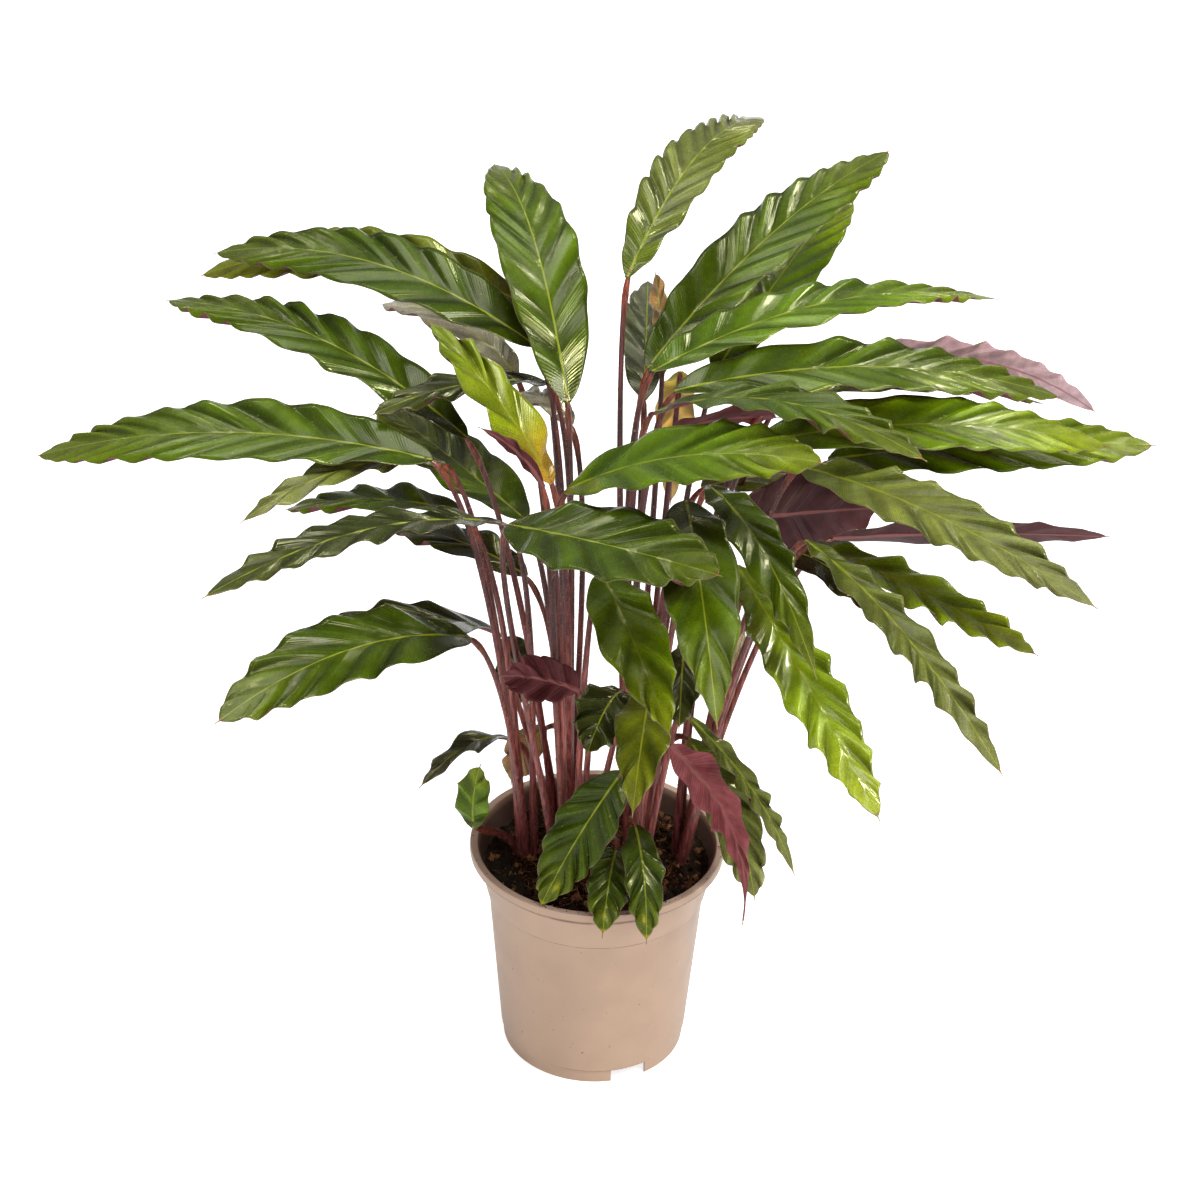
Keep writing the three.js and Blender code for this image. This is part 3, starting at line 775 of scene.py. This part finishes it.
def blade_tones(leaf, t, across, fold_shading, chance):
    """The colours of a blade's upper and lower face at each point."""
    tone = TONES[leaf.tone]
    upper = blended(linear(*tone.base), linear(*tone.middle), eased(t, 0.02, 0.4))
    upper = blended(upper, linear(*tone.tip), 0.8 * eased(t, 0.55, 1.0))
    band = np.sin(math.tau * (BANDS * t + chance[2]) + 2.5 * across * (0.5 + chance[0]))
    # painted shade and light on the sides of each fold, on top of the broad bands
    upper = upper * ((1 + BAND_SHADE * band) * (1 + PAINTED_FOLD_SHADE * fold_shading))[..., None]
    if leaf.tone == "spotted":
        lengthways = (t - SPOT_PLACE) / SPOT_LENGTH
        sideways = (across + 0.7 - chance[1]) / SPOT_WIDTH
        patch = np.exp(-(lengthways**2) - sideways**2)
        upper = blended(upper, SPOT_YELLOW, 0.6 * patch)
        upper = blended(upper, SPOT_YELLOW, 0.7 * eased(t, 0.965, 1.0))
    upper = blended(upper, TIP_BROWN, eased(t, 0.985, 1.0))
    lower = blended(linear(*tone.under), linear(*tone.under_tip), eased(t, 0.5, 1.0))
    if leaf.tone in PLAIN_TONES:
        lower = upper
    return upper, lower


def blade_grid(leaf):
    """Places along the midrib, with a needle past its tip, and across from edge to edge."""
    rows = ROWS_PER_WAVE * wave_count(leaf)
    needle = 1 + TIP_NEEDLE / blade_length(leaf) * np.array(NEEDLE_STEPS)
    along = np.concatenate((np.linspace(0, 1, rows + 1), needle))[:, None]
    spread = np.linspace(-1, 1, 2 * COLUMNS + 1)
    across = (np.sign(spread) * np.abs(spread) ** COLUMN_CROWDING)[None, :]
    return along, across


def wrapped(above, below):
    """Values in the order of a skin's rings: over the upper face and back under the lower."""
    return np.concatenate((above, below[:, ::-1]), axis=1)


def add_blade(name, leaf, materials, replaced):
    """A thin closed blade with a rib below, thinner at its rim."""
    chance = rng.random(3)
    along, across = blade_grid(leaf)
    middle, normal, t, half, fold_shading = blade_sheet(leaf, along, across, chance)
    across = np.broadcast_to(across, t.shape)
    outward = np.abs(across)
    thickness = RIM_THICKNESS + (BLADE_THICKNESS - RIM_THICKNESS) * np.sqrt(1 - outward**4)
    thickness = thickness * np.where(t > 1, 0.7, 1.0)
    taper = np.clip(1 - t, 0, 1)
    rib_width = RIB_TIP_WIDTH + RIB_WIDENING * taper
    distance = outward * half
    rib = RIB_HEIGHT * np.sqrt(taper) * np.exp(-((distance / rib_width) ** 2))
    upper_rib = UPPER_RIB_HEIGHT * taper * np.exp(-((distance / (0.6 * rib_width)) ** 2))
    top = middle + normal * (thickness / 2 + upper_rib)[..., None]
    bottom = middle - normal * (thickness / 2 + rib)[..., None]
    rings, columns = t.shape
    faces = skin(rings, 2 * columns)
    looks = np.zeros(len(faces), np.int32)
    side = np.arange((rings - 1) * 2 * columns) % (2 * columns)
    looks[: len(side)] = side >= columns
    points = wrapped(top, bottom).reshape(-1, 3)
    piece = add_piece(name, points, faces, materials, replaced, looks)
    upper, lower = blade_tones(leaf, t, across, fold_shading, chance)
    store(piece, "tone", wrapped(upper, lower).reshape(-1, 3))
    lengthways = np.broadcast_to(along * blade_length(leaf), t.shape)
    known = {"rib": distance / rib_width, "edge": (1 - outward) * half, "vein": lengthways}
    for key, values in known.items():
        store(piece, key, wrapped(values, values).ravel())


# Stalks.


def stalk_controls(leaf, crown):
    """The four points of a stalk's curve, from inside its crown to the blade."""
    start, control, end, _ = midrib(leaf)
    direction = curve_direction(start, control, end, np.array(0.0))
    base = np.array(leaf.base, float)
    away = base[:2] - np.array(crown, float)
    distance = np.linalg.norm(away)
    spread = STALK_SPREAD * min(1, distance / STALK_SPREAD_REACH)
    root = np.array((*(crown + away / distance * spread), STALK_ROOT))
    bend = base - leaf.bend * direction
    rise = root + STALK_LEAN * (bend - root)
    rise[2] = max(STALK_CLEAR_HEIGHT, root[2] + STALK_RISE * (bend[2] - root[2]))
    return root, rise, bend, base + STALK_OVERRUN * direction


def bezier(controls, t):
    a, b, c, d = controls
    t = t[:, None]
    point = (1 - t) ** 3 * a + 3 * t * (1 - t) ** 2 * b + 3 * t**2 * (1 - t) * c + t**3 * d
    slope = (1 - t) ** 2 * (b - a) + 2 * t * (1 - t) * (c - b) + t**2 * (d - c)
    return point, unit(slope)


def stalk_frame(leaf, crown):
    """Centres, radii and the two directions across a stalk, at even steps along it."""
    controls = stalk_controls(leaf, crown)
    t = np.linspace(0, 1, STALK_RINGS + 1)
    centre, direction = bezier(controls, t)
    reference = np.cross(direction[-1], UP)
    across = unit(np.cross(direction, reference))
    other = np.cross(direction, across)
    steps = np.linalg.norm(np.diff(centre, axis=0), axis=1)
    walked = np.concatenate(((0.0,), np.cumsum(steps)))
    to_go = walked[-1] - STALK_OVERRUN - walked
    radius = STALK_FOOT_RADIUS + (STALK_TIP_RADIUS - STALK_FOOT_RADIUS) * t
    buried = SOIL_LEVEL - STALK_ROOT
    radius += SHEATH_SWELL * np.exp(-np.clip(walked - buried, 0, None) / SHEATH_HEIGHT)
    knuckle = np.exp(-(((to_go - PULVINUS_LENGTH / 2) / (PULVINUS_LENGTH / 3)) ** 2))
    radius += PULVINUS_SWELL * knuckle
    radius *= np.where(to_go < 0, STALK_OVERRUN_SHARE, 1.0)
    return centre, radius, direction, across, other, walked, to_go


def stalk_part(leaf, crown, chance):
    """The points, faces and colours of one ridged stalk."""
    centre, radius, _, across, other, walked, to_go = stalk_frame(leaf, crown)
    angle = np.linspace(0, math.tau, STALK_SIDES, endpoint=False)
    ridge = np.cos(STALK_RIDGES * angle + walked[:, None] / STALK_TWIST + 6 * chance)
    reach = radius[:, None] * (1 + STALK_RIDGE_DEPTH * ridge)
    turn = across[:, None] * np.cos(angle)[:, None] + other[:, None] * np.sin(angle)[:, None]
    points = centre[:, None] + turn * reach[..., None]
    low, middle, high = (linear(*maroon) for maroon in STALK_MAROONS)
    tone = blended(low, middle, eased(walked, *STALK_BRIGHTENING))
    tone = blended(tone, high, eased(walked, *STALK_DARKENING))
    red = eased(to_go, PULVINUS_LENGTH * 1.4, PULVINUS_LENGTH * 0.4)
    tone = blended(tone, linear(*PULVINUS_RED), red) * (0.6 + 0.6 * chance)
    tones = np.repeat(tone, STALK_SIDES, axis=0)
    return points.reshape(-1, 3), skin(STALK_RINGS + 1, STALK_SIDES), tones


def add_stalks(shoot, material):
    """All the stalks of a shoot, in place of its fused solid."""
    parts = [stalk_part(leaf, shoot.crown, rng.random()) for leaf in shoot.leaves + shoot.inner]
    add_parts("stalks_" + shoot.name, parts, material, ("stems_" + shoot.name,))


def stalk_hairs(leaf, crown):
    """Fine three-sided hairs standing out all round a stalk."""
    centre, radius, direction, across, _, walked, _ = stalk_frame(leaf, crown)
    first = SOIL_LEVEL - STALK_ROOT
    last = walked[-1] - STALK_OVERRUN - HAIRLESS
    count = int(HAIRS_PER_MM * (last - first))
    place = rng.uniform(first, last, count)
    angle = rng.uniform(0, math.tau, count)

    def at_places(values):
        return np.stack([np.interp(place, walked, column) for column in values.T], axis=1)

    along = unit(at_places(direction))
    one = unit(at_places(across))
    two = np.cross(along, one)
    out = one * np.cos(angle)[:, None] + two * np.sin(angle)[:, None]
    root = at_places(centre) + out * (np.interp(place, walked, radius) * HAIR_ROOT)[:, None]
    lean = out + HAIR_LEAN * along + rng.normal(0, HAIR_SCATTER, (count, 3))
    tip = root + unit(lean) * rng.uniform(*HAIR_LENGTH, count)[:, None]
    sideways = np.cross(along, out)
    corners = []
    for turn in (0, math.tau / 3, 2 * math.tau / 3):
        corners.append(root + HAIR_RADIUS * (along * math.cos(turn) + sideways * math.sin(turn)))
    return np.stack((*corners, tip), axis=1).reshape(-1, 3)


def add_hairs(shoot, material):
    hairs = [stalk_hairs(leaf, shoot.crown) for leaf in shoot.leaves + shoot.inner]
    points = np.concatenate(hairs)
    faces = []
    for first in range(0, len(points), 4):
        a, b, c, tip = range(first, first + 4)
        faces.extend(((a, b, c), (b, a, tip), (c, b, tip), (a, c, tip)))
    add_piece("hairs_" + shoot.name, points, faces, [material])


# Pot.


def softened(outline):
    """The outline with each corner between two long sides rounded."""
    points = [outline[0]]
    for before, corner, after in zip(outline, outline[1:], outline[2:]):
        before, corner, after = (Vector(point) for point in (before, corner, after))
        cut = min(CORNER_RADIUS, (before - corner).length / 3, (after - corner).length / 3)
        first = corner + (before - corner).normalized() * cut
        last = corner + (after - corner).normalized() * cut
        for share in (0, 0.25, 0.5, 0.75, 1):
            point = first.lerp(corner, share).lerp(corner.lerp(last, share), share)
            points.append(tuple(point))
    points.append(outline[-1])
    return points


def turned(outline, sides):
    """Points and faces of a solid turned about Z. The outline starts and ends on the axis."""
    rings = outline[1:-1]
    angles = [math.tau * side / sides for side in range(sides)]
    points = [(r * math.cos(a), r * math.sin(a), z) for r, z in rings for a in angles]
    first = len(points)
    points += [(0, 0, outline[0][1]), (0, 0, outline[-1][1])]
    faces = []
    for side in range(sides):
        beside = (side + 1) % sides
        faces.append((first, beside, side))
        for ring in range(len(rings) - 1):
            low, high = ring * sides, (ring + 1) * sides
            faces.append((low + side, low + beside, high + beside, high + side))
        top = (len(rings) - 1) * sides
        faces.append((first + 1, top + side, top + beside))
    return points, faces


def pot_outline():
    mouth = RIM_RADIUS - RIM_WIDTH
    band = POT_HEIGHT - RIM_BAND
    floor_top = FOOT_HEIGHT + WALL
    return [
        (0, FOOT_HEIGHT),
        (FOOT_RADIUS - WALL, FOOT_HEIGHT),
        (FOOT_RADIUS - WALL, 0),
        (FOOT_RADIUS, 0),
        (FOOT_RADIUS, FOOT_HEIGHT),
        (BODY_FOOT_RADIUS - CHAMFER / 2, FOOT_HEIGHT + CHAMFER),
        (BODY_FOOT_RADIUS, floor_top),
        (STEP_RADIUS - STEP_DEPTH, STEP_HEIGHT - LEDGE),
        (STEP_RADIUS, STEP_HEIGHT),
        (COLLAR_RADIUS, band - LEDGE),
        (RIM_RADIUS, band),
        (RIM_RADIUS, POT_HEIGHT),
        (mouth, POT_HEIGHT),
        (COLLAR_RADIUS - WALL, band),
        (STEP_RADIUS - STEP_DEPTH - WALL, STEP_HEIGHT),
        (BODY_FOOT_RADIUS - WALL, floor_top),
        (0, floor_top),
    ]


def cutter(shape, matrix):
    """A closed mesh object to cut with, from a bmesh maker."""
    mesh = bpy.data.meshes.new("cutter")
    made = bmesh.new()
    shape(made)
    made.transform(matrix)
    made.to_mesh(mesh)
    made.free()
    return add_object("cutter", mesh)


def cut(piece, tool):
    """Cuts the tool's shape out of the piece and takes the tool away."""
    modifier = piece.modifiers.new("cut", "BOOLEAN")
    modifier.object = tool
    modifier.solver = "EXACT"
    with bpy.context.temp_override(object=piece, active_object=piece):
        bpy.ops.object.modifier_apply(modifier=modifier.name)
    bpy.data.objects.remove(tool)


def notch_shape(made):
    bmesh.ops.create_cube(made, size=1)


def drain_shape(made):
    radius = DRAIN_RADIUS * MM
    depth = CUTTER_REACH * MM
    bmesh.ops.create_cone(made, cap_ends=True, segments=32, radius1=radius, radius2=radius, depth=depth)


def painted_inner_shade(points):
    """1 for points on the inner face of the wall, from the step to the rim's edge, where the pot's
    material paints shade, and 0 elsewhere.
    """
    heights = (STEP_HEIGHT, POT_HEIGHT - RIM_BAND, POT_HEIGHT)
    middles = (STEP_RADIUS - WALL, COLLAR_RADIUS - WALL / 2, RIM_RADIUS - RIM_WIDTH - RIM_EDGE)
    radius = np.hypot(points[:, 0], points[:, 1])
    return (points[:, 2] >= STEP_HEIGHT) & (radius < np.interp(points[:, 2], heights, middles))


def add_pot(material):
    """The nursery pot, with notches in its foot ring and drain holes beside them."""
    points, faces = turned(softened(pot_outline()), POT_SIDES)
    piece = add_piece("nursery_pot", points, faces, [material], ("pot",))
    # marks the inner face of the wall, which the material paints with shade
    store(piece, "inner", painted_inner_shade(np.array(points)))
    for degrees in NOTCH_ANGLES:
        turn = Matrix.Rotation(math.radians(degrees), 4, "Z")
        size = Matrix.Diagonal((CUTTER_REACH * MM, NOTCH_WIDTH * MM, 2 * NOTCH_HEIGHT * MM, 1))
        place = Matrix.Translation((FOOT_RADIUS * MM, 0, 0))
        cut(piece, cutter(notch_shape, turn @ place @ size))
        place = Matrix.Translation((DRAIN_DISTANCE * MM, 0, FOOT_HEIGHT * MM))
        cut(piece, cutter(drain_shape, turn @ place))
    piece.data.shade_smooth()
    piece.data.set_sharp_from_angle(angle=math.radians(SHARP_ANGLE))


# Soil.


def soil_height(x, y):
    """The height of the peat's top, with the broad lumps of the solid and finer ones."""
    long = math.sin(x * 0.16 + 1.3) * math.cos(y * 0.14 - 0.4)
    short = math.sin(x * 0.39 - y * 0.27) * math.cos(y * 0.41 + x * 0.12)
    fine = noise.fractal(Vector((x, y, 0.0)) / SOIL_LUMP, 0.7, 2.1, 5)
    calm = 1 - SOIL_CALM * eased(math.hypot(x, y), SOIL_RADIUS - SOIL_CALM_WIDTH, SOIL_RADIUS)
    return SOIL_LEVEL + SOIL_BUMP * (long + 0.7 * short) + SOIL_ROUGHNESS * fine * calm


def add_soil(material):
    outline = [(SOIL_RADIUS * ring / SOIL_RINGS, SOIL_LEVEL) for ring in range(SOIL_RINGS + 1)]
    floor = FOOT_HEIGHT + WALL + GAP
    outline += [(STEP_RADIUS - STEP_DEPTH - WALL - GAP, STEP_HEIGHT)]
    outline += [(BODY_FOOT_RADIUS - WALL - GAP, floor), (0, floor)]
    points, faces = turned(outline[::-1], SOIL_SIDES)
    raised = [(x, y, soil_height(x, y) if z > STEP_HEIGHT else z) for x, y, z in points]
    piece = add_piece("peat_bed", raised, faces, [material], ("soil",))
    patches = np.array([noise.fractal(Vector(point) / SOIL_PATCH, 1.0, 2.0, 3) for point in points])
    store(piece, "tone", linear(*PEAT_BROWN) * (1 + 0.5 * patches)[:, None])


def soil_place(reach):
    """A random place on the peat within `reach` of the axis."""
    distance = reach * math.sqrt(rng.random())
    angle = rng.uniform(0, math.tau)
    x, y = distance * math.cos(angle), distance * math.sin(angle)
    return np.array((x, y, soil_height(x, y)))


def ball():
    """Points and faces of a small round lump of radius 1."""
    made = bmesh.new()
    bmesh.ops.create_icosphere(made, subdivisions=2, radius=1)
    points = np.array([vertex.co for vertex in made.verts])
    faces = [tuple(vertex.index for vertex in face.verts) for face in made.faces]
    made.free()
    return points, faces


def lump(template, centre, size):
    """A rough clod of the given size."""
    turn = Matrix(np.linalg.qr(rng.normal(size=(3, 3)))[0])
    stretched = template * rng.uniform(*LUMP_STRETCH, 3)
    shift = Vector(rng.uniform(-50, 50, 3))
    rough = np.array([noise.noise(Vector(point) * LUMP_GRAIN + shift) for point in stretched])
    return centre + size * (stretched * (1 + LUMP_ROUGHNESS * rough)[:, None]) @ np.array(turn)


def add_lumps(name, places, sizes, material):
    """Many clods of various browns as one piece."""
    browns = rng.integers(0, len(LUMP_BROWNS), len(places))
    points, faces = ball()
    parts = []
    for place, size, brown in zip(places, sizes, browns):
        parts.append((lump(points, place, size), faces, linear(*LUMP_BROWNS[brown])))
    add_parts(name, parts, material)


def add_clods(material):
    places = [soil_place(SOIL_RADIUS - CLOD_MARGIN) for _ in range(CLODS)]
    sizes = SMALLEST_CLOD + CLOD_GROWTH * rng.random(CLODS) ** 3
    add_lumps("clods", places, sizes, material)


def add_crumbs(material):
    """Crumbs of peat left on the pot's rim and in the corner inside it."""
    places = []
    for _ in range(CRUMBS):
        angle = rng.uniform(0, math.tau)
        on_rim = rng.random() < CRUMBS_ON_RIM
        radius = RIM_RADIUS - rng.uniform(1, 4) if on_rim else SOIL_RADIUS + rng.uniform(-1, 1.5)
        height = POT_HEIGHT if on_rim else SOIL_LEVEL + rng.uniform(0, 5)
        places.append(np.array((radius * math.cos(angle), radius * math.sin(angle), height)))
    add_lumps("crumbs", places, rng.uniform(*CRUMB_SIZE, CRUMBS), material)


def fibre(root):
    """One curled strand of peat lying on the soil."""
    length = rng.uniform(*FIBRE_LENGTH)
    heading = rng.uniform(0, math.tau)
    climb = rng.uniform(*FIBRE_CLIMB)
    radius = rng.uniform(*FIBRE_RADIUS)
    curl = rng.normal(0, FIBRE_CURL)
    centre = root + np.array((0, 0, FIBRE_LIFT[0]))
    rings = []
    for step in range(FIBRE_STEPS):
        share = step / (FIBRE_STEPS - 1)
        heading += curl * rng.uniform(0.5, 1.5)
        direction = unit(np.array((math.cos(heading), math.sin(heading), climb - 1.2 * climb * share)))
        across = unit(np.cross(direction, UP))
        other = np.cross(across, direction)
        width = radius * (1 - FIBRE_TAPER * share)
        for side in range(FIBRE_SIDES):
            angle = math.tau * side / FIBRE_SIDES
            rings.append(centre + width * (across * math.cos(angle) + other * math.sin(angle)))
        centre = centre + direction * length / (FIBRE_STEPS - 1)
        centre[2] = max(centre[2], soil_height(centre[0], centre[1]) + FIBRE_LIFT[1])
    return np.array(rings)


def add_fibres(material):
    parts = []
    for _ in range(FIBRES):
        points = fibre(soil_place(SOIL_RADIUS - FIBRE_MARGIN))
        brown = FIBRE_BROWNS[rng.integers(0, len(FIBRE_BROWNS))]
        parts.append((points, skin(FIBRE_STEPS, FIBRE_SIDES), linear(*brown)))
    add_parts("fibres", parts, material)


# Camera, light and floor.


def add_camera():
    level = Vector((1, 0, 0))
    forward = Vector((0, math.cos(CAMERA_PITCH), -math.sin(CAMERA_PITCH)))
    upright = level.cross(forward)
    right = level * math.cos(CAMERA_ROLL) + upright * math.sin(CAMERA_ROLL)
    top = upright * math.cos(CAMERA_ROLL) - level * math.sin(CAMERA_ROLL)
    place = (Vector(CAMERA_TARGET) - forward * CAMERA_DISTANCE) * MM
    data = bpy.data.cameras.new("camera")
    data.angle = CAMERA_ANGLE
    camera = add_object("camera", data)
    rows = Matrix((right, top, -forward)).transposed().to_4x4()
    camera.matrix_world = Matrix.Translation(place) @ rows
    bpy.context.scene.camera = camera


def add_sun(sun):
    data = bpy.data.lights.new(sun.name, "SUN")
    data.energy = sun.strength
    data.angle = math.radians(sun.spread)
    data.color = sun.colour
    lamp = add_object(sun.name, data)
    lamp.visible_diffuse = not sun.only_gloss
    lamp.rotation_euler = (-Vector(sun.place)).to_track_quat("-Z", "Y").to_euler()


def add_world():
    """White where it is seen, and dimmer as a light."""
    world = bpy.data.worlds.new("studio")
    world.use_nodes = True
    tree = world.node_tree
    seen = node(tree, "LightPath").outputs["Is Camera Ray"]
    light = ranged(tree, seen, 0, 1, WORLD_LIGHT, 1)
    shade(tree, tree.nodes["Background"], Color=(1, 1, 1, 1), Strength=light)
    bpy.context.scene.world = world


def add_floor():
    corners = []
    for x, y in ((-1, -1), (1, -1), (1, 1), (-1, 1)):
        corners.append((x * FLOOR_HALF, y * FLOOR_HALF, FLOOR_HEIGHT))
    mesh = bpy.data.meshes.new("floor")
    mesh.from_pydata(corners, [], [(0, 1, 2, 3)])
    mesh.materials.append(floor_material())
    floor = add_object("floor", mesh)


def add_plant():
    under = blade_under_material()
    satin = (blade_upper_material("blade_upper", SATIN_COAT), under)
    glossy = (blade_upper_material("blade_upper_glossy", GLOSSY_COAT), under)
    stalk = stalk_material()
    hair = hair_material()
    number = 0
    for shoot in SHOOTS:
        add_stalks(shoot, stalk)
        add_hairs(shoot, hair)
        for leaf in shoot.leaves:
            number += 1
            materials = glossy if leaf.tone in GLOSSY_TONES else satin
            add_blade(f"blade_{number:02d}", leaf, materials, (f"leaf_{number:02d}",))
        for place, leaf in enumerate(shoot.inner, 1):
            name = f"inner_blade_{shoot.name}_{place}"
            add_blade(name, leaf, satin, ("stems_" + shoot.name,))


bpy.context.scene.view_settings.view_transform = "Standard"
add_camera()
add_world()
for sun in SUNS:
    add_sun(sun)
add_floor()
add_plant()
add_pot(pot_material())
peat = soil_material()
add_soil(peat)
add_clods(peat)
add_crumbs(peat)
add_fibres(peat)
